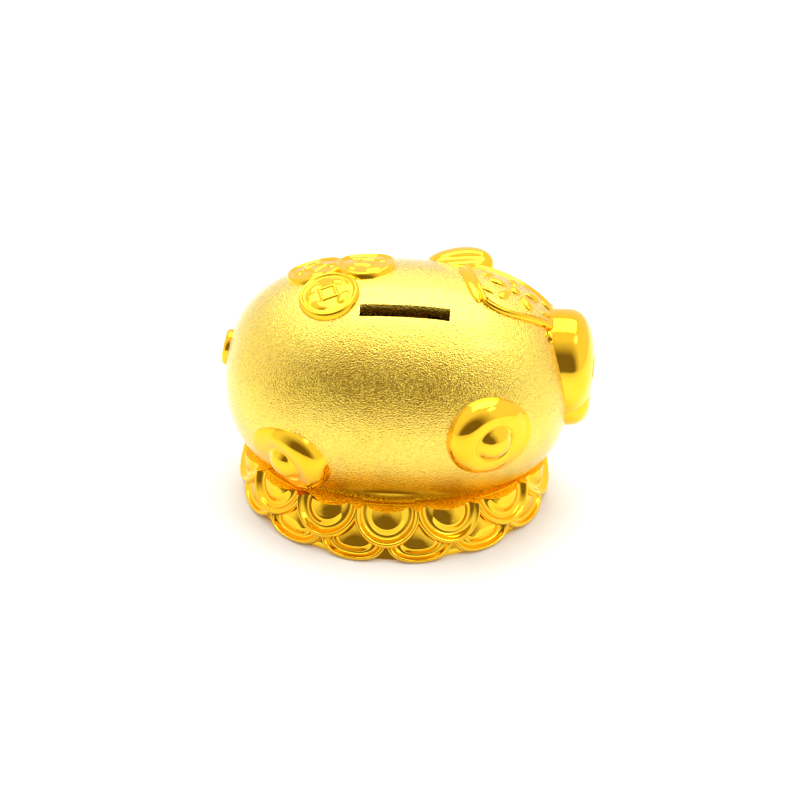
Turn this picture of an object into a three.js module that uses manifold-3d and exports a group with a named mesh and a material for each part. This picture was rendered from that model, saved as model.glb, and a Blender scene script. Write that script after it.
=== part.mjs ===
// Gilded ceramic piggy bank: a hollow egg-shaped pig lying in a heap of coins.
// Millimetres, +Z up, the pig faces +X and stands on the plane Z = 0.
import * as THREE from 'three';
import { mergeVertices } from 'three/addons/utils/BufferGeometryUtils.js';
import Module from 'manifold-3d';

const wasm = await Module();
wasm.setup();

// ---- driving dimensions ----------------------------------------------------
const GAP = 0.3;                       // between pieces that touch
const BODY = { halfLength: 69, radius: 48, power: 2.5, wall: 3.2, axisHeight: 50.5 };
const SLOT = { length: 34, width: 5, x: 3.3, y: -21.1 };
const STOPPER = { holeRadius: 12, seatRadius: 15.6, seatZ: 5.4, neckRadius: 15.4, neckTop: 10.5 };
const SKIRT = { centreX: -1.2, halfLength: 63.8, halfWidth: 57, top: 18, insetSides: 14.5, insetEnds: 5 };
const COIN_COUNT = 14;                 // in each tier round the base
const LOWER_COIN = { radius: 13.5, slant: 10, thickness: 3, out: 0 };
const UPPER_COIN = { radius: 11.8, slant: 19.3, thickness: 5.3, out: 2.3 };
const FOOT_CLEARANCE = 0.6;            // the coins stop this far above the table
const RELIEF = { back: 1.6, plaque: 1.7, flower: 1.1 };
const BACK_COIN_RADIUS = 11.8;
const LEG_DISC = { radius: 16.8, depth: 15, lift: 2.2 };
const LEGS = {
  front: { place: [38, -43.3, 51.8], facing: [0.52, -0.845, -0.089] },
  rear: { place: [-40.3, -38.9, 35.6], facing: [-0.6, -0.74, -0.3] },
};
const SNOUT = { centreZ: 60.5, halfWidth: 19.5, halfHeight: 22.5, rear: 61.5, front: 77.4, power: 2.6 };
const CHIN = { centreZ: 47.5, halfWidth: 15.2, halfHeight: 12.8, rear: 60, front: 77.3, power: 3.2 };
const PLAQUE = { rearX: 28, frontX: 59.5, slant: 3.4, halfWidthRear: 10.5, halfWidth: 15, halfWidthFront: 8.4 };
const TAIL = { x: -67.4, z: 62.6, halfX: 4, halfY: 7, halfZ: 8.6 };
const STANDING_EAR = { x: 22.8, y: 21.5, z: 91, halfX: 13.4, halfY: 9, halfZ: 7.6 };
const FOLDED_EAR = { x: 26.7, y: -0.8, turn: 0.29, halfX: 2.4, halfY: 13, halfZ: 2.3 };

// ---- materials ---------------------------------------------------------------
const FROSTED = new THREE.MeshStandardMaterial({ color: 0xe2bb4e, roughness: 0.42, metalness: 1 });
const POLISHED = new THREE.MeshStandardMaterial({ color: 0xf2b21c, roughness: 0.08, metalness: 1 });
const RUBBER = new THREE.MeshStandardMaterial({ color: 0x26241f, roughness: 0.8, metalness: 0 });

// ---- solids and booleans -------------------------------------------------------
function signedVolume(position, index) {
  const [a, b, c] = [new THREE.Vector3(), new THREE.Vector3(), new THREE.Vector3()];
  let total = 0;
  for (let i = 0; i < index.length; i += 3) {
    a.fromBufferAttribute(position, index[i]);
    b.fromBufferAttribute(position, index[i + 1]);
    c.fromBufferAttribute(position, index[i + 2]);
    total += a.dot(b.cross(c)) / 6;
  }
  return total;
}

function solid(geometry) {
  const bare = geometry.clone();
  bare.deleteAttribute('normal');
  bare.deleteAttribute('uv');
  const merged = mergeVertices(bare, 1e-4);
  const position = merged.getAttribute('position');
  const index = Uint32Array.from(merged.index.array);
  const kept = [];
  for (let i = 0; i < index.length; i += 3) {
    const [a, b, c] = [index[i], index[i + 1], index[i + 2]];
    if (a !== b && b !== c && c !== a) kept.push(a, b, c);
  }
  if (signedVolume(position, kept) < 0) {
    for (let i = 0; i < kept.length; i += 3) [kept[i + 1], kept[i + 2]] = [kept[i + 2], kept[i + 1]];
  }
  return new wasm.Manifold(new wasm.Mesh({
    numProp: 3,
    vertProperties: new Float32Array(position.array),
    triVerts: Uint32Array.from(kept),
  }));
}

function geometryOf(manifold) {
  const mesh = manifold.getMesh();
  const geometry = new THREE.BufferGeometry();
  geometry.setAttribute('position', new THREE.BufferAttribute(new Float32Array(mesh.vertProperties), 3));
  geometry.setIndex(new THREE.BufferAttribute(new Uint32Array(mesh.triVerts), 1));
  geometry.computeVertexNormals();
  return geometry;
}

function piece(name, manifold, material) {
  const parts = manifold.decompose();
  const largest = parts.reduce((best, part) => (part.volume() > best.volume() ? part : best));
  const mesh = new THREE.Mesh(geometryOf(largest), material);
  mesh.name = name;
  return mesh;
}

function block(sizeX, sizeY, sizeZ, x, y, z) {
  return solid(new THREE.BoxGeometry(sizeX, sizeY, sizeZ).translate(x, y, z));
}

function upright(radius, bottom, top, segments = 28) {
  const cylinder = new THREE.CylinderGeometry(radius, radius, top - bottom, segments);
  return solid(cylinder.rotateX(Math.PI / 2).translate(0, 0, (top + bottom) / 2));
}

// ---- the egg-shaped body -------------------------------------------------------
function bodyRadiusAt(x, grow = 0) {
  const across = Math.min(1, Math.abs(x) / (BODY.halfLength + grow));
  return (BODY.radius + grow) * (1 - across ** BODY.power) ** (1 / BODY.power);
}

function egg(grow, segments = 44, rows = 20) {
  const profile = [];
  for (let i = 0; i <= rows; i += 1) {
    const angle = Math.PI * i / rows;
    const along = Math.sign(Math.cos(angle)) * Math.abs(Math.cos(angle)) ** (2 / BODY.power);
    const out = i % rows === 0 ? 0 : Math.sin(angle) ** (2 / BODY.power);
    profile.push(new THREE.Vector2((BODY.radius + grow) * out, (BODY.halfLength + grow) * along));
  }
  const lathe = new THREE.LatheGeometry(profile, segments);
  return solid(lathe.rotateZ(-Math.PI / 2).translate(0, 0, BODY.axisHeight));
}

const eggClearance = egg(GAP);

function surfaceHeight(x, y) {
  const radius = bodyRadiusAt(x);
  return BODY.axisHeight + Math.sqrt(Math.max(0, radius * radius - y * y));
}

function surfaceNormal(x, y, z) {
  const radial = Math.hypot(y, z - BODY.axisHeight);
  const slopeX = (Math.abs(x) / BODY.halfLength) ** (BODY.power - 1) / BODY.halfLength;
  const slopeR = (radial / BODY.radius) ** (BODY.power - 1) / BODY.radius;
  return new THREE.Vector3(
    Math.sign(x) * slopeX, slopeR * y / radial, slopeR * (z - BODY.axisHeight) / radial).normalize();
}

function bodyShell() {
  const inside = egg(-BODY.wall, 28, 14);
  const slot = block(SLOT.length, SLOT.width, 40, SLOT.x, SLOT.y, surfaceHeight(SLOT.x, SLOT.y));
  const neck = upright(STOPPER.neckRadius, STOPPER.seatZ, STOPPER.neckTop).intersect(egg(-GAP));
  const seat = upright(STOPPER.seatRadius, -1, STOPPER.seatZ);
  const hole = upright(STOPPER.holeRadius, -1, STOPPER.neckTop + 10);
  return egg(0).subtract(inside).add(neck).subtract(slot).subtract(seat).subtract(hole);
}

// ---- rubber stopper ----------------------------------------------------------------
function stopper() {
  const flangeTop = STOPPER.seatZ - GAP;
  const flange = upright(STOPPER.seatRadius - 2 * GAP, flangeTop - 1.8, flangeTop);
  const plug = upright(STOPPER.holeRadius - GAP, flangeTop - 0.5, STOPPER.neckTop + 1.4);
  const hollow = upright(STOPPER.holeRadius - 3, flangeTop + 1, STOPPER.neckTop + 5, 24);
  const grip = block(14, 3, 2.6, 0, 0, flangeTop - 2.6);
  return flange.add(plug).subtract(hollow).add(grip);
}

// ---- coin heap round the base ------------------------------------------------------
function skirtInset(turn) {
  const side = Math.sin(turn) ** 2;
  return SKIRT.insetEnds + (SKIRT.insetSides - SKIRT.insetEnds) * side;
}

function skirtSlope(turn) {
  return Math.atan2(SKIRT.top, skirtInset(turn));
}

function skirtFrame(turn) {
  const point = new THREE.Vector3(
    SKIRT.centreX + SKIRT.halfLength * Math.cos(turn), SKIRT.halfWidth * Math.sin(turn), 0);
  const level = new THREE.Vector3(
    Math.cos(turn) / SKIRT.halfLength, Math.sin(turn) / SKIRT.halfWidth, 0).normalize();
  const slope = skirtSlope(turn);
  const up = level.clone().multiplyScalar(-Math.cos(slope)).setZ(Math.sin(slope));
  const out = level.clone().multiplyScalar(Math.sin(slope)).setZ(Math.cos(slope));
  return { point, up, out };
}

// The ring core behind the coins: a skirt pulled in by the thickness of the lower coins.
function skirtCore(grow) {
  const segments = 42;
  const core = new THREE.CylinderGeometry(1, 1, 1, segments, 1).rotateX(Math.PI / 2);
  const position = core.getAttribute('position');
  const behind = LOWER_COIN.thickness + GAP - grow;
  for (let i = 0; i < position.count; i += 1) {
    const [x, y, z] = [position.getX(i), position.getY(i), position.getZ(i)];
    const turn = Math.atan2(y, x);
    const level = z > 0 ? 1 : 0;
    const pull = Math.hypot(x, y) * (skirtInset(turn) * level + behind / Math.sin(skirtSlope(turn)));
    const across = Math.hypot(x, y);
    const halfLength = SKIRT.halfLength * across - pull;
    const halfWidth = SKIRT.halfWidth * across - pull;
    const endX = SKIRT.centreX + halfLength * Math.cos(turn);
    position.setXYZ(i, endX, halfWidth * Math.sin(turn), level * (SKIRT.top + grow));
  }
  return solid(core);
}

function coinBase() {
  const under = new THREE.CylinderGeometry(1, 1, 20, 36).rotateX(Math.PI / 2).scale(44, 34, 1);
  return skirtCore(0).subtract(eggClearance).subtract(solid(under.translate(0, 0, 5)));
}

function flatCoin(tier, turn, grow) {
  const frame = skirtFrame(turn);
  const thickness = tier.thickness + grow;
  const disc = new THREE.CylinderGeometry(tier.radius + grow, tier.radius + grow, thickness, 22);
  const side = new THREE.Vector3().crossVectors(frame.out, frame.up);
  const centre = frame.point.clone()
    .addScaledVector(frame.up, tier.slant)
    .addScaledVector(frame.out, tier.out + grow - thickness / 2);
  const place = new THREE.Matrix4().makeBasis(side, frame.out, frame.up).setPosition(centre);
  return solid(disc.applyMatrix4(place));
}

function wedge(turn) {
  const half = Math.PI / COIN_COUNT;
  const start = GAP / 2 / Math.sin(half);
  const shape = new THREE.Shape();
  const centre = [SKIRT.centreX + start * Math.cos(turn), start * Math.sin(turn)];
  shape.moveTo(centre[0], centre[1]);
  for (const edge of [turn - half, turn + half]) {
    shape.lineTo(centre[0] + 100 * Math.cos(edge), centre[1] + 100 * Math.sin(edge));
  }
  const prism = new THREE.ExtrudeGeometry(shape, { depth: SKIRT.top - FOOT_CLEARANCE, bevelEnabled: false });
  return solid(prism.translate(0, 0, FOOT_CLEARANCE));
}

function lowerTurn(index) {
  return 2 * Math.PI * index / COIN_COUNT;
}

function upperTurn(index) {
  return 2 * Math.PI * (index + 0.5) / COIN_COUNT;
}

const coreClearance = skirtCore(GAP);

function lowerCoin(index) {
  const turn = lowerTurn(index);
  return flatCoin(LOWER_COIN, turn, 0).intersect(wedge(turn)).subtract(eggClearance).subtract(coreClearance);
}

function upperCoin(index) {
  const turn = upperTurn(index);
  const neighbours = flatCoin(LOWER_COIN, lowerTurn(index), GAP)
    .add(flatCoin(LOWER_COIN, lowerTurn(index + 1), GAP));
  return flatCoin(UPPER_COIN, turn, 0).intersect(wedge(turn)).subtract(neighbours)
    .subtract(eggClearance).subtract(coreClearance);
}

// ---- low relief that follows the body ------------------------------------------------
function reliefBand(low, high) {
  return egg(high).subtract(egg(low));
}

function radialPunch(x, y, radius, segments = 22) {
  const z = surfaceHeight(x, y);
  const normal = surfaceNormal(x, y, z);
  const punch = new THREE.CylinderGeometry(radius, radius, 16, segments);
  punch.applyQuaternion(new THREE.Quaternion().setFromUnitVectors(new THREE.Vector3(0, 1, 0), normal));
  return solid(punch.translate(x, y, z));
}

const BACK_COINS = [
  { name: 'back_coin_right', x: -26, y: -13.4 },
  { name: 'back_coin_rear', x: -33.4, y: 6.4 },
  { name: 'back_coin_front', x: -13.6, y: 6.4 },
];

function backCoins(band) {
  const done = [];
  return BACK_COINS.map((coin) => {
    let disc = radialPunch(coin.x, coin.y, BACK_COIN_RADIUS).intersect(band);
    for (const other of done) disc = disc.subtract(radialPunch(other.x, other.y, BACK_COIN_RADIUS + GAP));
    done.push(coin);
    return piece(coin.name, disc, POLISHED);
  });
}

function plaqueOutline() {
  const { rearX, frontX, slant, halfWidthRear, halfWidth, halfWidthFront } = PLAQUE;
  const widest = rearX + 0.4 * (frontX - rearX);
  const shape = new THREE.Shape();
  shape.moveTo(rearX - slant, halfWidthRear);
  shape.lineTo(rearX + slant, -halfWidthRear);
  shape.quadraticCurveTo(rearX + slant + 2, -halfWidth + 0.5, widest, -halfWidth);
  shape.quadraticCurveTo(frontX - 8, -halfWidth + 1, frontX, -halfWidthFront);
  shape.lineTo(frontX, halfWidthFront);
  shape.quadraticCurveTo(frontX - 8, halfWidth - 1, widest, halfWidth);
  shape.quadraticCurveTo(rearX - slant + 3, halfWidth - 1, rearX - slant, halfWidthRear);
  return new THREE.ExtrudeGeometry(shape, { depth: 60, bevelEnabled: false, curveSegments: 4 });
}

function plaque() {
  const prism = solid(plaqueOutline().translate(0, 0, BODY.axisHeight));
  return reliefBand(GAP, GAP + RELIEF.plaque).intersect(prism);
}

function flower() {
  const middle = (PLAQUE.rearX + PLAQUE.frontX) / 2;
  const shape = new THREE.Shape();
  const steps = 30;
  for (let i = 0; i < steps; i += 1) {
    const turn = 2 * Math.PI * i / steps;
    const reach = 7.5 + 2.5 * Math.cos(5 * turn);
    const point = [middle + 1.25 * reach * Math.cos(turn), reach * Math.sin(turn)];
    if (i === 0) shape.moveTo(...point);
    else shape.lineTo(...point);
  }
  const prism = new THREE.ExtrudeGeometry(shape, { depth: 60, bevelEnabled: false });
  const low = GAP + RELIEF.plaque + GAP;
  return reliefBand(low, low + RELIEF.flower).intersect(solid(prism.translate(0, 0, BODY.axisHeight)));
}

// ---- head, legs and tail -----------------------------------------------------------------
function ellipsoid(x, y, z, halfX, halfY, halfZ, segments = 18, rows = 10) {
  return solid(new THREE.SphereGeometry(1, segments, rows).scale(halfX, halfY, halfZ).translate(x, y, z));
}

// A padded oval with a rounded front, its axis along X.
function facePad(pad, rearX) {
  const depth = pad.front - rearX;
  const straight = 0.35;
  const rows = 7;
  const profile = [new THREE.Vector2(0, 0), new THREE.Vector2(1, 0)];
  for (let i = 0; i < rows; i += 1) {
    const angle = Math.PI / 2 * i / rows;
    const along = straight + (1 - straight) * Math.sin(angle) ** (2 / pad.power);
    profile.push(new THREE.Vector2(Math.cos(angle) ** (2 / pad.power), along));
  }
  profile.push(new THREE.Vector2(0, 1));
  const lathe = new THREE.LatheGeometry(profile, 26).rotateZ(-Math.PI / 2);
  lathe.scale(depth, pad.halfWidth, pad.halfHeight);
  return solid(lathe.translate(rearX, 0, pad.centreZ));
}

function snout() {
  let pad = facePad(SNOUT, SNOUT.rear);
  for (const side of [-1, 1]) {
    pad = pad.subtract(ellipsoid(SNOUT.front, side * 7.5, SNOUT.centreZ + 2, 3, 3.2, 4.6, 12, 8));
  }
  return pad.subtract(eggClearance).subtract(reliefClearance);
}

function chin() {
  const nose = facePad({
    ...SNOUT, halfWidth: SNOUT.halfWidth + GAP, halfHeight: SNOUT.halfHeight + GAP, front: SNOUT.front + GAP,
  }, SNOUT.rear - GAP);
  return facePad(CHIN, CHIN.rear).subtract(nose).subtract(eggClearance);
}

function eye(side) {
  const x = 58.8;
  const y = side * 11.4;
  const bead = ellipsoid(x, y, surfaceHeight(x, y), 2.2, 1.7, 3.2, 12, 8);
  return bead.subtract(eggClearance).subtract(reliefClearance);
}

function standingEar() {
  const { x, y, z, halfX, halfY, halfZ } = STANDING_EAR;
  return ellipsoid(x, y, z, halfX, halfY, halfZ).subtract(eggClearance).subtract(reliefClearance);
}

function foldedEar() {
  const { x, y, turn, halfX, halfY, halfZ } = FOLDED_EAR;
  const ear = new THREE.SphereGeometry(1, 14, 18);
  ear.scale(halfX, halfY, halfZ).rotateZ(turn).translate(x, y, surfaceHeight(x, y));
  return solid(ear).subtract(eggClearance).subtract(reliefClearance);
}

const reliefClearance = (() => {
  const prism = plaqueOutline();
  prism.translate(-(PLAQUE.rearX + PLAQUE.frontX) / 2, 0, BODY.axisHeight).scale(1.02, 1.04, 1);
  prism.translate((PLAQUE.rearX + PLAQUE.frontX) / 2, 0, 0);
  return egg(2 * GAP + RELIEF.plaque).intersect(solid(prism));
})();

function legDisc(leg, side) {
  const { radius, depth } = LEG_DISC;
  const profile = [[0, -depth], [radius, -depth], [radius, -3.6], [radius - 0.7, -2], [radius - 2.4, -0.8],
    [radius - 6, 0], [8.4, 0.2], [7.4, -0.1], [4.6, 1.6], [0, 2.6]];
  const points = profile.map(([across, height]) => new THREE.Vector2(across, height));
  const lathe = new THREE.LatheGeometry(points, 26);
  const [x, y, z] = leg.place;
  const facing = new THREE.Vector3(leg.facing[0], -side * leg.facing[1], leg.facing[2]).normalize();
  lathe.applyQuaternion(new THREE.Quaternion().setFromUnitVectors(new THREE.Vector3(0, 1, 0), facing));
  const centre = new THREE.Vector3(x, -side * y, z).addScaledVector(facing, LEG_DISC.lift);
  const disc = solid(lathe.translate(centre.x, centre.y, centre.z));
  const below = block(200, 200, 40, 0, 0, SKIRT.top + 2 * GAP - 20);
  return disc.subtract(eggClearance).subtract(below);
}

function tail() {
  return ellipsoid(TAIL.x, 0, TAIL.z, TAIL.halfX, TAIL.halfY, TAIL.halfZ, 16, 10).subtract(eggClearance);
}

// ---- assembly ----------------------------------------------------------------------------------
const bank = new THREE.Group();
bank.add(piece('body_shell', bodyShell(), FROSTED));
bank.add(piece('stopper', stopper(), RUBBER));

const base = new THREE.Group();
base.add(piece('coin_base', coinBase(), POLISHED));
for (let i = 0; i < COIN_COUNT; i += 1) {
  const number = String(i + 1).padStart(2, '0');
  base.add(piece(`lower_coin_${number}`, lowerCoin(i), POLISHED));
  base.add(piece(`upper_coin_${number}`, upperCoin(i), POLISHED));
}
bank.add(base);

const head = new THREE.Group();
head.add(piece('snout', snout(), POLISHED));
head.add(piece('chin', chin(), POLISHED));
head.add(piece('eye_left', eye(1), POLISHED));
head.add(piece('eye_right', eye(-1), POLISHED));
head.add(piece('ear_left', standingEar(), POLISHED));
head.add(piece('ear_right', foldedEar(), POLISHED));
head.add(piece('forehead_plaque', plaque(), POLISHED));
head.add(piece('plaque_flower', flower(), POLISHED));
bank.add(head);

for (const coin of backCoins(reliefBand(GAP, GAP + RELIEF.back))) bank.add(coin);
for (const [end, leg] of Object.entries(LEGS)) {
  bank.add(piece(`leg_${end}_left`, legDisc(leg, 1), POLISHED));
  bank.add(piece(`leg_${end}_right`, legDisc(leg, -1), POLISHED));
}
bank.add(piece('tail', tail(), POLISHED));

// The origin is the centre of the footprint's box, on the table.
const extent = new THREE.Box3().setFromObject(bank, true);
bank.position.x = -(extent.min.x + extent.max.x) / 2;

export default bank;
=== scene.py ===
"""Gilded ceramic piggy bank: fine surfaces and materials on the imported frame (Blender 4.5, metres)."""

import math

import bmesh
import bpy
import numpy as np
from mathutils import Matrix, Vector

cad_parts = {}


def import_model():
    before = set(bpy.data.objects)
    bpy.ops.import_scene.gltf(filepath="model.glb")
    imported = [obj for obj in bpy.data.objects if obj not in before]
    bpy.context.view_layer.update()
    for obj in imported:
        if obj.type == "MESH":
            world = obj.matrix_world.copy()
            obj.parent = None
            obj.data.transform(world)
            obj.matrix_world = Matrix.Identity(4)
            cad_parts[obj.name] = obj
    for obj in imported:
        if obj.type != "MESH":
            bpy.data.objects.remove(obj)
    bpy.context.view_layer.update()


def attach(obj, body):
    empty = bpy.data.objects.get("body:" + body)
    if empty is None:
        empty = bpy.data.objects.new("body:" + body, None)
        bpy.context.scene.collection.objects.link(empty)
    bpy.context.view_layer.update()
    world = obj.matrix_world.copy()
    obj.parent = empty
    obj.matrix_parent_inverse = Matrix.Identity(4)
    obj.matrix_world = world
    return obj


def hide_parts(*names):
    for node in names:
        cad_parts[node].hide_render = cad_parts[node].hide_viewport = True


MM = 0.001

# ---- driving dimensions, millimetres, in the body's own frame -----------------------------------
BODY_X = -3.1                 # the egg's middle lies behind the footprint's centre
HALF_LENGTH = 69.0
RADIUS = 48.0
POWER = 2.5
WALL = 3.2
AXIS_HEIGHT = 50.5
SLOT = dict(length=34.0, width=5.0, x=3.3, y=-21.1)
HOLE_RADIUS = 12.0
SEAT_RADIUS = 15.6
SEAT_Z = 5.4
NECK_TOP = 10.5
SKIRT_X = -1.2
SKIRT_HALF_LENGTH = 63.8
SKIRT_HALF_WIDTH = 57.0
SKIRT_TOP = 18.0
SKIRT_INSET_SIDES = 14.5
SKIRT_INSET_ENDS = 5.0
FOOT_OPENING = (44.0, 34.0)
FOOT_LIFT = 0.05              # nothing lies in the plane of the table itself
COIN_COUNT = 14
SUNK = 1.0                    # how far an applied piece reaches into the wall it sits on

# ---- camera: the view the bank is shown from ----------------------------------------------------
CAMERA_AZIMUTH = 3.3
CAMERA_ELEVATION = 33.3
CAMERA_ROLL = -0.65
CAMERA_DISTANCE = 0.600
CAMERA_TARGET = (-0.00245, 0.0, 0.0397)
CAMERA_LENS = 66.4


# ---- node helpers -------------------------------------------------------------------------------
class Nodes:
    """A short way to add and link shader nodes."""

    def __init__(self, tree):
        self.tree = tree
        tree.nodes.clear()

    def add(self, kind, **settings):
        node = self.tree.nodes.new("ShaderNode" + kind)
        for key, value in settings.items():
            if hasattr(node, key):
                setattr(node, key, value)
            else:
                node.inputs[key.replace("_", " ")].default_value = value
        return node

    def link(self, source, output, target, socket):
        self.tree.links.new(source.outputs[output], target.inputs[socket])

    def ramp(self, source, output, stops):
        node = self.add("ValToRGB")
        elements = node.color_ramp.elements
        while len(elements) < len(stops):
            elements.new(0.5)
        for element, (place, colour) in zip(elements, stops):
            element.position = place
            element.color = (*colour, 1.0) if len(colour) == 3 else colour
        self.link(source, output, node, "Fac")
        return node


def grey(value):
    return (value, value, value)


def new_material(name, **settings):
    """A material with one principled shader, its nodes and its object coordinates."""
    material = bpy.data.materials.new(name)
    material.use_nodes = True
    nodes = Nodes(material.node_tree)
    out = nodes.add("OutputMaterial")
    shader = nodes.add("BsdfPrincipled", **settings)
    nodes.link(shader, "BSDF", out, "Surface")
    return material, nodes, shader, nodes.add("TexCoord")


def add_relief(nodes, shader, source, output, strength, distance):
    relief = nodes.add("Bump", Strength=strength, Distance=distance)
    nodes.link(source, output, relief, "Height")
    nodes.link(relief, "Normal", shader, "Normal")


def frosted_gold():
    """Plated over a sanded glaze: a cellular grain under a thin clear lacquer."""
    material, nodes, shader, place = new_material("frosted_gold", Metallic=1.0, Coat_Weight=0.55,
                                                  Coat_Roughness=0.22)
    grain = nodes.add("TexNoise", Scale=1900.0, Detail=1.0, Roughness=0.6)
    nodes.link(place, "Object", grain, "Vector")
    cells = nodes.add("TexVoronoi", Scale=1600.0)
    nodes.link(place, "Object", cells, "Vector")
    flecks = nodes.add("TexVoronoi", Scale=1700.0)
    nodes.link(place, "Object", flecks, "Vector")
    clouds = nodes.add("TexNoise", Scale=42.0, Detail=3.0, Roughness=0.5)
    nodes.link(place, "Object", clouds, "Vector")
    tone = nodes.ramp(clouds, "Fac", [(0.3, (0.95, 0.64, 0.075)), (0.7, (1.0, 0.73, 0.10))])
    specks = nodes.ramp(flecks, "Color", [(0.05, grey(0.45)), (0.55, grey(1.0))])
    colour = nodes.add("Mix", data_type="RGBA", blend_type="MULTIPLY")
    colour.inputs["Factor"].default_value = 0.5
    nodes.tree.links.new(tone.outputs["Color"], colour.inputs["A"])
    nodes.tree.links.new(specks.outputs["Color"], colour.inputs["B"])
    nodes.tree.links.new(colour.outputs["Result"], shader.inputs["Base Color"])
    rough = nodes.ramp(clouds, "Fac", [(0.2, grey(0.17)), (0.8, grey(0.24))])
    nodes.link(rough, "Color", shader, "Roughness")
    height = nodes.add("Math", operation="ADD")
    nodes.link(grain, "Fac", height, 0)
    nodes.link(cells, "Distance", height, 1)
    add_relief(nodes, shader, height, "Value", 1.0, 0.00016)
    return material


def polished_gold():
    """Mirror plating with faint clouds, smears from handling and a slow ripple."""
    material, nodes, shader, place = new_material("polished_gold", Metallic=1.0)
    clouds = nodes.add("TexNoise", Scale=55.0, Detail=3.0, Roughness=0.55)
    nodes.link(place, "Object", clouds, "Vector")
    tone = nodes.ramp(clouds, "Fac", [(0.3, (0.93, 0.53, 0.020)), (0.7, (0.98, 0.61, 0.036))])
    nodes.link(tone, "Color", shader, "Base Color")
    smear = nodes.add("TexNoise", Scale=220.0, Detail=4.0, Roughness=0.6)
    nodes.link(place, "Object", smear, "Vector")
    rough = nodes.ramp(smear, "Fac", [(0.35, grey(0.055)), (0.75, grey(0.14))])
    nodes.link(rough, "Color", shader, "Roughness")
    ripple = nodes.add("TexNoise", Scale=140.0, Detail=1.0, Roughness=0.4)
    nodes.link(place, "Object", ripple, "Vector")
    add_relief(nodes, shader, ripple, "Fac", 0.25, 0.0004)
    return material


def black_rubber():
    material, nodes, shader, place = new_material("black_rubber", Metallic=0.0)
    dust = nodes.add("TexNoise", Scale=260.0, Detail=4.0, Roughness=0.6)
    nodes.link(place, "Object", dust, "Vector")
    tone = nodes.ramp(dust, "Fac", [(0.35, (0.018, 0.017, 0.016)), (0.75, (0.05, 0.047, 0.043))])
    nodes.link(tone, "Color", shader, "Base Color")
    rough = nodes.ramp(dust, "Fac", [(0.3, grey(0.55)), (0.7, grey(0.8))])
    nodes.link(rough, "Color", shader, "Roughness")
    add_relief(nodes, shader, dust, "Fac", 0.3, 0.0002)
    return material


def pale_floor():
    material = bpy.data.materials.new("pale_floor")
    material.use_nodes = True
    shader = material.node_tree.nodes["Principled BSDF"]
    shader.inputs["Base Color"].default_value = (0.95, 0.95, 0.95, 1.0)
    shader.inputs["Roughness"].default_value = 0.6
    return material


# ---- the egg's surface --------------------------------------------------------------------------
def egg_radius(x):
    across = min(1.0, abs(x) / HALF_LENGTH)
    return RADIUS * (1 - across ** POWER) ** (1 / POWER)


def egg_top(x, y):
    """Height of the egg's upper surface over (x, y), in the body's frame."""
    radius = egg_radius(x)
    return AXIS_HEIGHT + math.sqrt(max(0.0, radius * radius - y * y))


def egg_value(point, grow=0.0):
    """Negative inside the egg, positive outside it."""
    radial = math.hypot(point[1], point[2] - AXIS_HEIGHT) / (RADIUS + grow)
    return (abs(point[0]) / (HALF_LENGTH + grow)) ** POWER + radial ** POWER - 1


def egg_normal(point):
    radial = max(1e-6, math.hypot(point[1], point[2] - AXIS_HEIGHT))
    slope_x = (abs(point[0]) / HALF_LENGTH) ** (POWER - 1) / HALF_LENGTH
    slope_r = (radial / RADIUS) ** (POWER - 1) / RADIUS
    normal = Vector((math.copysign(slope_x, point[0]), slope_r * point[1] / radial,
                     slope_r * (point[2] - AXIS_HEIGHT) / radial))
    return normal.normalized()


def sink(point, direction, grow=-SUNK, reach=40.0):
    """Moves a point along a direction until it lies just under the egg's surface."""
    if egg_value(point, grow) <= 0:
        return point.copy()
    low, high = 0.0, reach
    for step in range(1, 41):
        if egg_value(point + direction * reach * step / 40, grow) <= 0:
            high = reach * step / 40
            low = reach * (step - 1) / 40
            break
    else:
        return point + direction * reach * 0.25
    for _ in range(18):
        middle = (low + high) / 2
        if egg_value(point + direction * middle, grow) <= 0:
            high = middle
        else:
            low = middle
    return point + direction * high


# ---- mesh helpers -------------------------------------------------------------------------------
def skin(rings, cap_first=True, cap_last=True):
    """Vertices and faces of a closed-round skin over rings with equal counts of points."""
    count = len(rings[0])
    points = [point for ring in rings for point in ring]
    faces = []
    for r in range(len(rings) - 1):
        for i in range(count):
            j = (i + 1) % count
            faces.append((r * count + i, r * count + j, (r + 1) * count + j, (r + 1) * count + i))
    if cap_first:
        points.append(sum(rings[0], Vector()) / count)
        faces += [(len(points) - 1, (i + 1) % count, i) for i in range(count)]
    if cap_last:
        start = (len(rings) - 1) * count
        points.append(sum(rings[-1], Vector()) / count)
        faces += [(len(points) - 1, start + i, start + (i + 1) % count) for i in range(count)]
    return points, faces


def join(*shells):
    points, faces = [], []
    for shell_points, shell_faces in shells:
        offset = len(points)
        points += shell_points
        faces += [tuple(i + offset for i in face) for face in shell_faces]
    return points, faces


def build(name, shell, material, crease=50.0):
    """A smooth-shaded object from body-frame millimetre points."""
    points, faces = shell
    mesh = bpy.data.meshes.new(name)
    mesh.from_pydata([((p[0] + BODY_X) * MM, p[1] * MM, p[2] * MM) for p in points], [], faces)
    work = bmesh.new()
    work.from_mesh(mesh)
    bmesh.ops.remove_doubles(work, verts=work.verts, dist=1e-6)
    bmesh.ops.recalc_face_normals(work, faces=work.faces)
    work.to_mesh(mesh)
    work.free()
    finish_mesh(mesh, crease)
    piece = bpy.data.objects.new(name, mesh)
    bpy.context.scene.collection.objects.link(piece)
    mesh.materials.append(material)
    return piece


def finish_mesh(mesh, crease):
    for polygon in mesh.polygons:
        polygon.use_smooth = True
    mesh.set_sharp_from_angle(angle=math.radians(crease))


def settle(piece, nodes, body="bank"):
    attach(piece, body)
    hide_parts(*nodes)
    return piece


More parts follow.
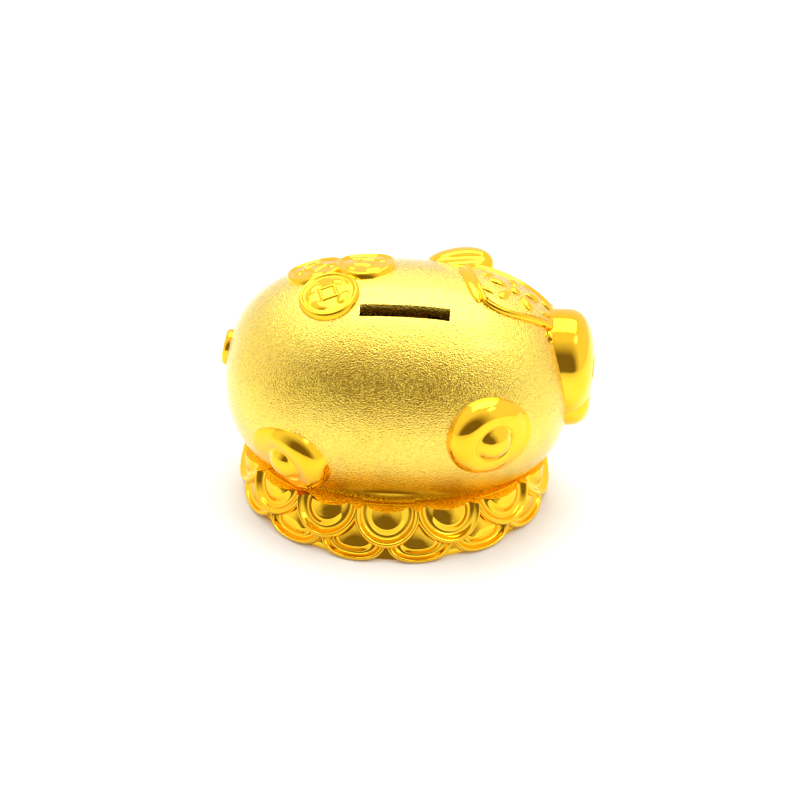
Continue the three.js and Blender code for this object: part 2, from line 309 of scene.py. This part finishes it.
def smooth_profile(points, steps=5):
    """Catmull-Rom points through a given profile."""
    ends = [points[0]] + list(points) + [points[-1]]
    curve = []
    for i in range(1, len(ends) - 2):
        a, b, c, d = (np.array(ends[i + k], dtype=float) for k in (-1, 0, 1, 2))
        for s in range(steps):
            t = s / steps
            curve.append(0.5 * (2 * b + (c - a) * t + (2 * a - 5 * b + 4 * c - d) * t ** 2
                                + (3 * b - a - 3 * c + d) * t ** 3))
    curve.append(np.array(points[-1], dtype=float))
    return curve


def hump(value, middle, half):
    """Rises smoothly to 1 at the middle and is 0 beyond half either side."""
    t = abs(value - middle) / half
    return 0.0 if t >= 1 else 0.5 + 0.5 * math.cos(math.pi * t)


def ease(value, low, high):
    t = min(1.0, max(0.0, (value - low) / (high - low)))
    return t * t * (3 - 2 * t)


# ---- body ---------------------------------------------------------------------------------------
def egg_shell(grow, segments, rows):
    rings = []
    for row in range(1, rows):
        angle = math.pi * row / rows
        x = math.copysign(abs(math.cos(angle)) ** (2 / POWER), math.cos(angle)) * (HALF_LENGTH + grow)
        radius = math.sin(angle) ** (2 / POWER) * (RADIUS + grow)
        rings.append([Vector((x, radius * math.cos(t), AXIS_HEIGHT + radius * math.sin(t)))
                      for t in (2 * math.pi * i / segments for i in range(segments))])
    points, faces = skin(rings)
    points[-2] = Vector((HALF_LENGTH + grow, 0, AXIS_HEIGHT))
    points[-1] = Vector((-HALF_LENGTH - grow, 0, AXIS_HEIGHT))
    return points, faces


def cylinder(radius, bottom, top, segments=72):
    rings = [[Vector((radius * math.cos(t), radius * math.sin(t), z))
              for t in (2 * math.pi * i / segments for i in range(segments))] for z in (bottom, top)]
    return skin(rings)


def box_shell(size, middle):
    signs = [(-1, -1), (1, -1), (1, 1), (-1, 1)]
    half = [side / 2 for side in size]
    rings = [[Vector(middle) + Vector((sx * half[0], sy * half[1], sz * half[2])) for sx, sy in signs]
             for sz in (-1, 1)]
    return skin(rings)


def apply_booleans(piece, cuts, crease):
    for operation, cutter in cuts:
        modifier = piece.modifiers.new(operation, "BOOLEAN")
        modifier.operation = operation
        modifier.object = cutter
        modifier.solver = "EXACT"
    depsgraph = bpy.context.evaluated_depsgraph_get()
    mesh = bpy.data.meshes.new_from_object(piece.evaluated_get(depsgraph))
    piece.modifiers.clear()
    piece.data = mesh
    for _, cutter in cuts:
        bpy.data.objects.remove(cutter)
    finish_mesh(mesh, crease)


def make_body(material):
    outer = egg_shell(0.0, 200, 100)
    inner = egg_shell(-WALL, 72, 36)
    piece = build("pig_body", outer, material)
    hollow = build("hollow", inner, material)
    neck = build("neck", cylinder(SEAT_RADIUS - 0.2, SEAT_Z + 0.2, NECK_TOP), material)
    slot_box = box_shell((SLOT["length"], SLOT["width"], 40), (SLOT["x"], SLOT["y"], 95))
    slot = build("slot", slot_box, material)
    seat = build("seat", cylinder(SEAT_RADIUS, -5, SEAT_Z), material)
    hole = build("hole", cylinder(HOLE_RADIUS, -5, NECK_TOP + 5), material)
    apply_booleans(piece, [("DIFFERENCE", hollow), ("UNION", neck), ("DIFFERENCE", slot),
                           ("DIFFERENCE", seat), ("DIFFERENCE", hole)], 35.0)
    settle(piece, ["body_shell"])


# ---- coin heap ----------------------------------------------------------------------------------
def skirt_inset(turn):
    return SKIRT_INSET_ENDS + (SKIRT_INSET_SIDES - SKIRT_INSET_ENDS) * math.sin(turn) ** 2


def skirt_frame(turn):
    slope = math.atan2(SKIRT_TOP, skirt_inset(turn))
    foot = Vector((SKIRT_X + SKIRT_HALF_LENGTH * math.cos(turn), SKIRT_HALF_WIDTH * math.sin(turn), 0))
    level = Vector((math.cos(turn) / SKIRT_HALF_LENGTH, math.sin(turn) / SKIRT_HALF_WIDTH, 0))
    level.normalize()
    up = level * -math.cos(slope) + Vector((0, 0, math.sin(slope)))
    out = level * math.sin(slope) + Vector((0, 0, math.cos(slope)))
    return foot, up, out


def skirt_point(turn, slant, height):
    """A point of the heap's side: slant up it from the foot, height out of it."""
    foot, up, out = skirt_frame(turn)
    return foot + up * slant + out * height


# Dome, moat and rim: height in millimetres against the share of the coin's radius.
UPPER_RELIEF = smooth_profile([
    (0.0, 1.5), (0.12, 1.4), (0.24, 1.05), (0.36, 0.65), (0.46, 0.3), (0.54, -0.4), (0.62, -0.95),
    (0.70, -1.0), (0.77, -0.5), (0.83, 0.4), (0.89, 0.95), (0.94, 0.85), (0.98, 0.2), (1.0, -0.6)], 6)
LOWER_RELIEF = smooth_profile([
    (0.0, 1.1), (0.12, 1.0), (0.24, 0.75), (0.36, 0.45), (0.48, 0.1), (0.56, -0.5), (0.64, -1.05),
    (0.72, -1.1), (0.79, -0.5), (0.84, 0.3), (0.89, 0.85), (0.94, 0.8), (0.98, 0.2), (1.0, -0.6)], 6)

# A coin's middle lies slant up the heap's side and stands out_by in front of it. The lower tier's
# coins are drawn in towards the table, where their feet would pass under it.
LOWER_COIN = dict(relief=LOWER_RELIEF, radius=13.8, slant=10.2, out_by=-0.1, thickness=2.9,
                  drawn_in=True)
UPPER_COIN = dict(relief=UPPER_RELIEF, radius=12.9, slant=19.4, out_by=2.3, thickness=5.0,
                  drawn_in=False)
DRAW_POWER = 4                # how squarely a drawn-in coin meets the table


def base_coin(coin, turn, segments=96, rows=48):
    """A struck coin bent round the heap's side."""
    radius, slant, relief = coin["radius"], coin["slant"], coin["relief"]

    def reach(angle):
        if not coin["drawn_in"] or math.cos(angle) >= -0.02:
            return radius
        down = slant / -math.cos(angle)
        return (radius ** -DRAW_POWER + down ** -DRAW_POWER) ** (-1 / DRAW_POWER)

    def place(across, rise, height):
        step = 0.01
        chord = skirt_point(turn + step, rise, 0) - skirt_point(turn - step, rise, 0)
        stretch = chord.length / (2 * step)
        spot = skirt_point(turn - across / stretch, rise, coin["out_by"] + height)
        spot.z = max(spot.z, FOOT_LIFT)
        return spot

    rings = []
    for row in range(1, rows + 1):
        s = row / rows
        height = float(np.interp(s, [p[0] for p in relief], [p[1] for p in relief]))
        rings.append([place(math.sin(t) * reach(t) * s, slant + math.cos(t) * reach(t) * s, height)
                      for t in (2 * math.pi * i / segments for i in range(segments))])
    back = [place(math.sin(t) * reach(t), slant + math.cos(t) * reach(t), -coin["thickness"])
            for t in (2 * math.pi * i / segments for i in range(segments))]
    return skin(rings + [back])


SLICE_CREASE = 28.0           # degrees; keeps the level cut flat against the coin's face
LOWER_COINS_END = 3.4         # the lower tier stops this far under the ring's top
UPPER_COINS_END = (0.15, 0.4)     # the upper tier ends over it, neighbours at two heights


def slice_above(piece, height):
    """Cuts the piece off level at a height in millimetres and closes it."""
    work = bmesh.new()
    work.from_mesh(piece.data)
    everything = work.verts[:] + work.edges[:] + work.faces[:]
    cut = bmesh.ops.bisect_plane(work, geom=everything, plane_co=(0, 0, height * MM),
                                 plane_no=(0, 0, 1), clear_outer=True)
    rim = [item for item in cut["geom_cut"] if isinstance(item, bmesh.types.BMEdge)]
    bmesh.ops.triangle_fill(work, use_beauty=True, edges=rim)
    bmesh.ops.recalc_face_normals(work, faces=work.faces)
    work.to_mesh(piece.data)
    work.free()
    finish_mesh(piece.data, SLICE_CREASE)


def make_coins(material):
    for index in range(COIN_COUNT):
        number = f"{index + 1:02d}"
        lower_turn = 2 * math.pi * index / COIN_COUNT
        upper_turn = 2 * math.pi * (index + 0.5) / COIN_COUNT
        lower = build(f"heap_coin_low_{number}", base_coin(LOWER_COIN, lower_turn), material)
        slice_above(lower, SKIRT_TOP - LOWER_COINS_END)
        settle(lower, [f"lower_coin_{number}"])
        upper = build(f"heap_coin_high_{number}", base_coin(UPPER_COIN, upper_turn), material)
        slice_above(upper, SKIRT_TOP + UPPER_COINS_END[index % 2])
        settle(upper, [f"upper_coin_{number}"])


RING_BEHIND = 2.7             # the ring's side lies this far behind the coins' fields at its foot
RING_SIDE = ((0.1, 2.5), (0.3, 2.0), (0.5, 1.6), (0.62, 1.3), (0.72, 0.6), (0.80, -0.2), (0.87, -0.9))
RING_LIP = ((0.3, -1.9), (0.55, -0.9), (0.2, -0.1), (-0.7, 0.35), (-1.7, 0.3), (-2.6, 0.1))
LEDGE_RISE = 3.2              # the ledge climbs this far as it runs in to the egg


def make_coin_base(material):
    """The ring behind the coins: its ledge rises to the egg, its foot is a flat ring."""
    segments = 224
    section = []
    for turn in (2 * math.pi * i / segments for i in range(segments)):
        foot, up, out = skirt_frame(turn)
        top_reach = SKIRT_TOP / up.z
        level = Vector((out.x, out.y, 0)).normalized()
        outline = [foot - level * RING_BEHIND / up.z + Vector((0, 0, FOOT_LIFT))]
        for slant, behind in RING_SIDE:
            outline.append(foot + up * slant * top_reach - out * behind)
        lip = foot + up * top_reach + out * 0.9
        for along, rise in RING_LIP:
            outline.append(Vector((lip.x, lip.y, SKIRT_TOP + rise)) + level * along)
        start = outline[-1]
        inner = Vector((FOOT_OPENING[0] * math.cos(turn), FOOT_OPENING[1] * math.sin(turn), 0))
        for share in (0.12, 0.24, 0.36, 0.48, 0.6, 0.8, 1.0):
            spot = Vector((start.x, start.y, 0)).lerp(inner, share)
            spot.z = start.z + LEDGE_RISE * share * 2 * share
            if egg_value(spot, -SUNK) <= 0:
                spot.z = lower_surface(spot)
            outline.append(spot)
        outline.append(Vector((inner.x, inner.y, FOOT_LIFT)))
        section.append(outline)
    count = len(section[0])
    rings = [[section[i][k] for i in range(segments)] for k in range(count)]
    rings.append(rings[0])
    settle(build("heap_ring", skin(rings, False, False), material), ["coin_base"])


def lower_surface(spot):
    """Height of a point just inside the egg's lower wall under or over a spot."""
    radius = egg_radius(spot.x) - SUNK
    return AXIS_HEIGHT - math.sqrt(max(0.0, radius * radius - spot.y * spot.y))


# ---- legs ---------------------------------------------------------------------------------------
# Dome, groove and rounded shoulder: height against radius.
LEG_PROFILE = [(0, 4.3), (2.0, 4.05), (4.0, 3.3), (5.7, 2.05), (6.9, 0.75), (7.5, 0.2), (7.9, 0.1),
               (8.3, 0.4), (9.0, 0.5), (11.0, 0.4), (12.4, 0.1), (13.6, -0.6), (14.7, -1.6),
               (15.5, -2.6), (16.1, -3.7), (16.5, -5.0)]
LEGS = {
    "front": dict(place=(38.0, -43.3, 51.8), facing=(0.52, -0.845, -0.089)),
    "rear": dict(place=(-40.3, -38.9, 35.6), facing=(-0.60, -0.74, -0.30)),
}
LEG_RADIUS = 16.5
LEG_LIFT = 2.2
LEG_SKIN = 0.55               # least height of a disc's face above the wall


def leg_disc(leg, side, segments=128):
    """A shallow round pad lying on the wall; it never dips under the wall before its rim."""
    facing = Vector((leg["facing"][0], -side * leg["facing"][1], leg["facing"][2])).normalized()
    place = Vector((leg["place"][0], -side * leg["place"][1], leg["place"][2]))
    across = facing.cross(Vector((0, 0, 1))).normalized()
    upward = across.cross(facing)
    rings, walls = [], []
    for radius, height in smooth_profile(LEG_PROFILE, 4)[1:]:
        shoulder = math.sqrt(max(0.0, 1 - max(0.0, (radius - LEG_RADIUS + 2.0) / 2.0) ** 2))
        ring, wall = [], []
        for i in range(segments):
            turn = 2 * math.pi * i / segments
            flat = place + (across * math.sin(turn) + upward * math.cos(turn)) * radius
            ground = sink(flat + facing * 14, -facing, 0.0, 60.0)
            wall_height = (ground - flat).dot(facing)
            low = wall_height + (LEG_SKIN + 0.35 * hump(radius, 0, 12)) * shoulder
            high = LEG_LIFT + height
            blend = 0.5 * (low + high + math.sqrt((low - high) ** 2 + 0.25))
            ring.append(flat + facing * blend)
            wall.append(flat + facing * (wall_height - SUNK))
        rings.append(ring)
        walls.append(wall)
    edge = [a.lerp(b, 0.5) for a, b in zip(rings[-1], walls[-1])]
    under = [walls[k] for k in range(len(walls) - 1, 2, -6)]
    return skin(rings + [edge] + under)


def make_legs(material):
    for end, leg in LEGS.items():
        for side, word in ((1, "left"), (-1, "right")):
            sole = build(f"sole_{end}_{word}", leg_disc(leg, side), material)
            settle(sole, [f"leg_{end}_{word}"])


# ---- face ---------------------------------------------------------------------------------------
SNOUT = dict(centre_z=60.5, half_width=19.5, half_height=22.5, rear=61.5, front=77.6, power=2.35)
CHIN = dict(centre_z=47.5, half_width=16.0, half_height=12.8, rear=60.0, front=77.2, power=3.2)
PAD_STRAIGHT = 0.3            # share of a pad's depth before its edge starts to turn in


def face_pad(pad, nostrils=False, segments=144, rows=56):
    rings = []
    depth = pad["front"] - pad["rear"]
    for row in range(1, rows + 1):
        angle = math.pi / 2 * row / rows
        across = math.sin(angle) ** (2 / pad["power"])
        dome = math.cos(angle) ** (2 / pad["power"]) if row < rows else 0.0
        ring = []
        for i in range(segments):
            t = 2 * math.pi * i / segments
            y = pad["half_width"] * across * math.sin(t)
            z = pad["half_height"] * across * math.cos(t)
            x = pad["rear"] + depth * (PAD_STRAIGHT + (1 - PAD_STRAIGHT) * dome)
            if nostrils:
                for side in (-1, 1):
                    away = math.hypot((y - side * 7.2) / 3.4, (z - 3.0) / 5.0)
                    x -= 3.8 * (1 - ease(away, 0.3, 1.15))
            ring.append(Vector((x, y, pad["centre_z"] + z)))
        rings.append(ring)
    wall = [sink(point, Vector((-1, 0, 0))) for point in rings[-1]]
    rings.append([a.lerp(b, 0.5) for a, b in zip(rings[-1], wall)])
    rings.append(wall)
    return skin(rings)


def make_face(material):
    settle(build("snout_disc", face_pad(SNOUT, nostrils=True), material), ["snout"])
    settle(build("lip", face_pad(CHIN), material), ["chin"])
    for side, word in ((1, "left"), (-1, "right")):
        shell = surface_blob(58.8, side * 11.4, 2.9, 2.0, 65.0 * side, 1.8, 0.0)
        settle(build(f"eye_bead_{word}", shell, material), [f"eye_{word}"])


def surface_frame(x, y, turn):
    """A point of the egg's top with its normal and two tangents turned by some degrees."""
    point = Vector((x, y, egg_top(x, y)))
    normal = egg_normal(point)
    along = (Vector((1, 0, 0)) - normal * normal.x).normalized()
    side = normal.cross(along)
    angle = math.radians(turn)
    return point, normal, along * math.cos(angle) + side * math.sin(angle), \
        side * math.cos(angle) - along * math.sin(angle)


def surface_blob(x, y, half_length, half_width, turn, height, lift, segments=48, rows=12, taper=0.0):
    """A rounded bead lying on the egg."""
    point, normal, along, side = surface_frame(x, y, turn)
    rings = []
    for row in range(1, rows + 1):
        s = math.sin(math.pi / 2 * row / rows)
        ring = []
        for i in range(segments):
            t = 2 * math.pi * i / segments
            u = half_length * s * math.cos(t)
            v = half_width * s * math.sin(t) * (1 - taper * u / half_length)
            flat = point + along * u + side * v
            seat = on_surface(flat, normal)
            ring.append(seat + normal * (lift + height * math.sqrt(max(0.0, 1 - s * s))))
        rings.append(ring)
    rings.append([on_surface(p, normal) - normal * 0.6 for p in rings[-1]])
    return skin(rings)


def on_surface(point, normal):
    """The egg's surface point met along a normal through the given point."""
    return sink(point + normal * 14, -normal, 0.0, 60.0)


# ---- ears ---------------------------------------------------------------------------------------
def lobe(centre, half, skew, groove, segments=96, rows=48):
    """A rounded lobe, thicker to one end, with a fold along its length."""
    rings = []
    for row in range(1, rows):
        angle = math.pi * row / rows
        ring = []
        for i in range(segments):
            t = 2 * math.pi * i / segments
            x = math.cos(angle)
            radial = math.sin(angle) ** 0.85
            y = radial * math.cos(t)
            z = radial * math.sin(t)
            shrink = 1 - groove * hump(t, math.radians(FOLD_TURN), FOLD_HALF) * math.sin(angle) ** 2
            point = Vector((half[0] * x, half[1] * y * shrink, half[2] * z * shrink * (1 + skew * x)))
            ring.append(Vector(centre) + point)
        rings.append(ring)
    return skin(rings)


STANDING_EAR = dict(centre=(22.8, 21.5, 91.0), half=(13.5, 9.0, 7.0), skew=0.3, groove=0.16)
FOLD_TURN = 118.0             # degrees round the standing ear
FOLD_HALF = 0.42              # radians


def make_ears(material):
    standing = lobe(**STANDING_EAR)
    settle(build("ear_standing", standing, material), ["ear_left"])
    settle(build("ear_folded", folded_ear(), material), ["ear_right"])


FOLDED_EAR = dict(x=27.2, y=-0.8, turn=16.6, half_length=13.2, half_width=2.5, height=1.7)


def folded_ear(segments=40, rows=72):
    """A narrow flap lying over the head along the plaque's rear edge."""
    turn = math.radians(FOLDED_EAR["turn"])
    rings = []
    for row in range(1, rows):
        share = 2 * row / rows - 1
        wide = math.sqrt(1 - abs(share) ** 3.2)
        ring = []
        for i in range(segments):
            t = 2 * math.pi * i / segments
            u = FOLDED_EAR["half_width"] * wide * math.cos(t)
            v = FOLDED_EAR["half_length"] * share
            x = FOLDED_EAR["x"] + u * math.cos(turn) - v * math.sin(turn)
            y = FOLDED_EAR["y"] + u * math.sin(turn) + v * math.cos(turn)
            ground = Vector((x, y, egg_top(x, y)))
            rise = FOLDED_EAR["height"] * wide * math.sin(t) if math.sin(t) > 0 else -SUNK * wide
            ring.append(ground + egg_normal(ground) * rise)
        rings.append(ring)
    return skin(rings)


# ---- forehead plaque ----------------------------------------------------------------------------
PLAQUE = dict(rear=27.6, slant=3.6, front=60.0, widest=15.2, widest_at=0.3, rear_half=11.0,
              front_half=8.4, border=2.4)
FLOWER = dict(petals=5, reach=6.2, stretch=1.15, first_turn=20.0, relief=1.25, lift=0.9)


def plaque_half_width(share):
    widest_at = PLAQUE["widest_at"]
    if share < widest_at:
        t = 1 - share / widest_at
        swell = math.sqrt(max(0.0, 1 - t ** 2.2))
        return PLAQUE["rear_half"] + (PLAQUE["widest"] - PLAQUE["rear_half"]) * swell
    t = (share - widest_at) / (1 - widest_at)
    return PLAQUE["widest"] - (PLAQUE["widest"] - PLAQUE["front_half"]) * t ** 1.8


def plaque_spot(share, across, inset):
    """A point of the plaque's outline grid and its distance from the outline."""
    half = plaque_half_width(share)
    y = (half - inset) * across
    rear = PLAQUE["rear"] - PLAQUE["slant"] * y / PLAQUE["rear_half"] + inset
    front = PLAQUE["front"] - 0.012 * y * y - inset
    x = rear + (front - rear) * share
    return x, y, min(x - rear, front - x, half - inset - abs(y)) + inset


def plaque_shell(inset, height, bottom, rows=96, columns=72):
    """A slab over the plaque's outline less an inset; height takes the distance from the edge."""
    top, low = [], []
    for r in range(rows + 1):
        row_top, row_low = [], []
        for c in range(columns + 1):
            x, y, edge = plaque_spot(r / rows, 2 * c / columns - 1, inset)
            ground = Vector((x, y, egg_top(x, y)))
            normal = egg_normal(ground)
            row_top.append(ground + normal * height(edge))
            row_low.append(ground + normal * bottom)
        top.append(row_top)
        low.append(row_low)
    width = columns + 1
    points = [p for row in top for p in row] + [p for row in low for p in row]
    offset = len(points) // 2
    faces = []
    for r in range(rows):
        for c in range(columns):
            a = r * width + c
            quad = (a, a + 1, a + width + 1, a + width)
            faces.append(quad)
            faces.append(tuple(i + offset for i in reversed(quad)))
    border = [(r * width, (r + 1) * width) for r in range(rows)]
    border += [((r + 1) * width + columns, r * width + columns) for r in range(rows)]
    border += [(c + 1, c) for c in range(columns)]
    border += [(rows * width + c, rows * width + c + 1) for c in range(columns)]
    faces += [(a, b, b + offset, a + offset) for a, b in border]
    return points, faces


def make_plaque(polished, frosted):
    border = PLAQUE["border"]

    def height(edge):
        return 0.7 + 1.2 * hump(edge, border / 2, border / 2 + 0.5) - 0.5 * (1 - ease(edge, 0.0, 0.5))

    frame = build("plaque_frame", plaque_shell(0, height, -0.6), polished)
    settle(frame, ["forehead_plaque"])
    field = build("plaque_field", plaque_shell(border + 0.1, lambda edge: 1.0, -0.3), frosted)
    settle(field, ["forehead_plaque"])
    middle = (PLAQUE["rear"] + PLAQUE["front"]) / 2 + 0.5
    lift = FLOWER["lift"]
    strokes = [surface_blob(middle, 0, 2.4, 2.4, 0, 1.3, lift)]
    for petal in range(FLOWER["petals"]):
        turn = 360.0 / FLOWER["petals"] * petal + FLOWER["first_turn"]
        angle = math.radians(turn)
        x = middle + FLOWER["reach"] * math.cos(angle) * FLOWER["stretch"]
        y = FLOWER["reach"] * math.sin(angle)
        strokes.append(surface_blob(x, y, 3.9, 2.0, turn, FLOWER["relief"], lift, taper=-0.35))
    for side in (-1, 1):
        front, rear = (middle + 12.2, side * 3.4), (middle - 10.6, side * 6.0)
        strokes.append(surface_blob(*front, 2.8, 1.0, side * -16, 0.9, lift, taper=0.3))
        strokes.append(surface_blob(*rear, 3.0, 1.1, side * 28, 0.9, lift, taper=0.3))
    settle(build("plaque_flower_relief", join(*strokes), polished), ["plaque_flower"])


# ---- coins on the back --------------------------------------------------------------------------
BACK_COINS = {
    "right": dict(x=-26.0, y=-13.4, turn=20.0, lift=0.5),
    "rear": dict(x=-33.4, y=6.4, turn=50.0, lift=0.0),
    "front": dict(x=-13.6, y=6.4, turn=75.0, lift=0.2),
}
BACK_COIN_RADIUS = 11.9


def back_coin_height(u, v):
    """Rim, square centre and four petals."""
    s = math.hypot(u, v) / BACK_COIN_RADIUS
    square = max(abs(u), abs(v))
    height = 0.9 + 0.95 * hump(s, 0.90, 0.115) - 1.0 * ease(s, 0.955, 1.0)
    height += 0.6 * hump(square, 2.9, 0.95)
    for turn in range(4):
        angle = math.pi / 2 * turn + math.pi / 4
        pu = u * math.cos(angle) + v * math.sin(angle) - 6.6
        pv = v * math.cos(angle) - u * math.sin(angle)
        away = math.hypot(pu / 1.9, pv / 3.3)
        height += 0.7 * math.sqrt(max(0.0, 1 - away * away))
    return height


def back_coin(coin, segments=120, rows=48):
    point, normal, along, side = surface_frame(coin["x"], coin["y"], coin["turn"])
    rings = []
    for row in range(1, rows + 1):
        s = row / rows
        ring = []
        for i in range(segments):
            t = 2 * math.pi * i / segments
            u = BACK_COIN_RADIUS * s * math.cos(t)
            v = BACK_COIN_RADIUS * s * math.sin(t)
            seat = on_surface(point + along * u + side * v, normal)
            ring.append(seat + normal * (back_coin_height(u, v) + coin["lift"]))
        rings.append(ring)
    rings.append([on_surface(p, normal) - normal * 0.6 for p in rings[-1]])
    return skin(rings)


def make_back_coins(material):
    for word, coin in BACK_COINS.items():
        disc = build(f"spine_coin_{word}", back_coin(coin), material)
        settle(disc, [f"back_coin_{word}"])


# ---- tail ---------------------------------------------------------------------------------------
TAIL = dict(height=62.6, turns=1.6, start=1.6, growth=4.6, stretch=1.15, thickness=2.1, out_by=0.2)


def make_tail(material):
    """A curled tail lying on the rear end: a tapering round strand that winds outwards."""
    steps, segments = 110, 24
    rings = []
    for step in range(steps + 1):
        share = step / steps
        turn = 2 * TAIL["turns"] * math.pi * share + math.pi / 2
        spread = TAIL["start"] + TAIL["growth"] * share
        spot = Vector((0, spread * math.cos(turn),
                       TAIL["height"] + spread * TAIL["stretch"] * math.sin(turn)))
        spot.x = -surface_x(spot) - TAIL["out_by"]
        heading = Vector((0, -math.sin(turn), math.cos(turn)))
        outward = Vector((-1, 0, 0))
        sideways = heading.cross(outward).normalized()
        ends = math.sqrt(max(0.0, min(1.0, share * 12, (1 - share) * 12)))
        thick = TAIL["thickness"] * ends * (0.75 + 0.25 * share)
        rings.append([spot + (sideways * math.cos(t) + outward * math.sin(t)) * max(thick, 0.05)
                      for t in (2 * math.pi * i / segments for i in range(segments))])
    settle(build("tail_curl", skin(rings), material), ["tail"])


def surface_x(spot):
    radial = min(1.0, math.hypot(spot.y, spot.z - AXIS_HEIGHT) / RADIUS)
    return HALF_LENGTH * (1 - radial ** POWER) ** (1 / POWER)


# ---- stopper ------------------------------------------------------------------------------------
FLANGE_TOP = SEAT_Z - 0.3
GRIP_LEVELS = ((-1.7, 0.3), (-2.2, 0.0), (-3.5, 0.0), (-3.9, -0.5))
GRIP_HALF = (6.8, 1.5)


def make_stopper(material):
    """A rubber plug: flange, hollow neck and a flat grip to pull it by."""
    flange = FLANGE_TOP
    profile = [(0.4, flange - 1.9), (13.6, flange - 1.9), (14.7, flange - 1.6), (15.0, flange - 0.9),
               (14.7, flange - 0.2), (13.9, flange), (11.7, flange + 0.1), (11.6, flange + 0.6),
               (11.7, NECK_TOP + 0.4), (11.2, NECK_TOP + 1.3), (10.2, NECK_TOP + 1.4),
               (9.2, NECK_TOP + 1.0), (9.0, flange + 1.4), (0.4, flange + 1.1)]
    segments = 96
    rings = [[Vector((radius * math.cos(t), radius * math.sin(t), z))
              for t in (2 * math.pi * i / segments for i in range(segments))] for radius, z in profile]
    grip = []
    for drop, grow in GRIP_LEVELS:
        ring = []
        for i in range(48):
            t = 2 * math.pi * i / 48
            x = math.copysign(abs(math.cos(t)) ** 0.35, math.cos(t)) * (GRIP_HALF[0] + grow)
            y = math.copysign(abs(math.sin(t)) ** 0.7, math.sin(t)) * (GRIP_HALF[1] + grow)
            ring.append(Vector((x, y, flange + drop)))
        grip.append(ring)
    piece = build("rubber_plug", join(skin(rings), skin(grip)), material, 40.0)
    settle(piece, ["stopper"], "plug")


# ---- studio -------------------------------------------------------------------------------------
def direction(azimuth, elevation):
    a, e = math.radians(azimuth), math.radians(elevation)
    return Vector((math.sin(a) * math.cos(e), -math.cos(a) * math.cos(e), math.sin(e)))


def make_camera():
    camera = bpy.data.objects.new("camera", bpy.data.cameras.new("camera"))
    bpy.context.scene.collection.objects.link(camera)
    back = direction(CAMERA_AZIMUTH, CAMERA_ELEVATION)
    turn = back.to_track_quat("Z", "Y").to_matrix().to_4x4()
    roll = Matrix.Rotation(math.radians(-CAMERA_ROLL), 4, "Z")
    place = Matrix.Translation(Vector(CAMERA_TARGET) + back * CAMERA_DISTANCE)
    camera.matrix_world = place @ turn @ roll
    camera.data.lens = CAMERA_LENS
    camera.data.sensor_width = 36.0
    camera.data.clip_start = 0.01
    bpy.context.scene.camera = camera


def area_light(name, azimuth, elevation, distance, size, power):
    data = bpy.data.lights.new(name, "AREA")
    data.shape = "RECTANGLE"
    data.size, data.size_y = size
    data.energy = power
    light = bpy.data.objects.new(name, data)
    bpy.context.scene.collection.objects.link(light)
    way = direction(azimuth, elevation)
    light.matrix_world = Matrix.Translation(way * distance + Vector((0, 0, 0.04))) @ \
        way.to_track_quat("Z", "Y").to_matrix().to_4x4()
    return light


def make_world():
    """A white studio with one dark side, where the room lies behind the camera."""
    world = bpy.data.worlds.new("studio")
    bpy.context.scene.world = world
    world.use_nodes = True
    nodes = Nodes(world.node_tree)
    out = nodes.add("OutputWorld")
    background = nodes.add("Background", Strength=1.0)
    nodes.link(background, "Background", out, "Surface")
    place = nodes.add("TexCoord")
    toward = nodes.add("VectorMath", operation="DOT_PRODUCT")
    nodes.link(place, "Generated", toward, 0)
    toward.inputs[1].default_value = direction(-6.0, 2.0)
    shade = nodes.ramp(toward, "Value", [(0.44, grey(1.1)), (0.68, (0.70, 0.63, 0.55)),
                                         (0.84, (0.22, 0.17, 0.12))])
    nodes.link(shade, "Color", background, "Color")


FLOOR_REACH = 4.0             # metres from the middle to each side


def make_studio():
    make_world()
    area_light("top_softbox", 180.0, 74.0, 1.0, (1.05, 0.70), 8.0)
    area_light("right_softbox", 62.0, 55.0, 0.9, (0.24, 0.20), 0.7)
    mesh = bpy.data.meshes.new("floor")
    corners = [(-1, -1), (1, -1), (1, 1), (-1, 1)]
    mesh.from_pydata([(x * FLOOR_REACH, y * FLOOR_REACH, 0) for x, y in corners], [], [(0, 1, 2, 3)])
    floor = bpy.data.objects.new("floor", mesh)
    bpy.context.scene.collection.objects.link(floor)
    mesh.materials.append(pale_floor())
    bpy.context.scene.view_settings.view_transform = "Standard"


# ---- everything together ------------------------------------------------------------------------
def main():
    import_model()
    make_camera()
    make_studio()
    frosted = frosted_gold()
    polished = polished_gold()
    make_body(frosted)
    make_coin_base(polished)
    make_coins(polished)
    make_legs(polished)
    make_face(polished)
    make_ears(polished)
    make_plaque(polished, frosted)
    make_back_coins(polished)
    make_tail(polished)
    make_stopper(black_rubber())


main()
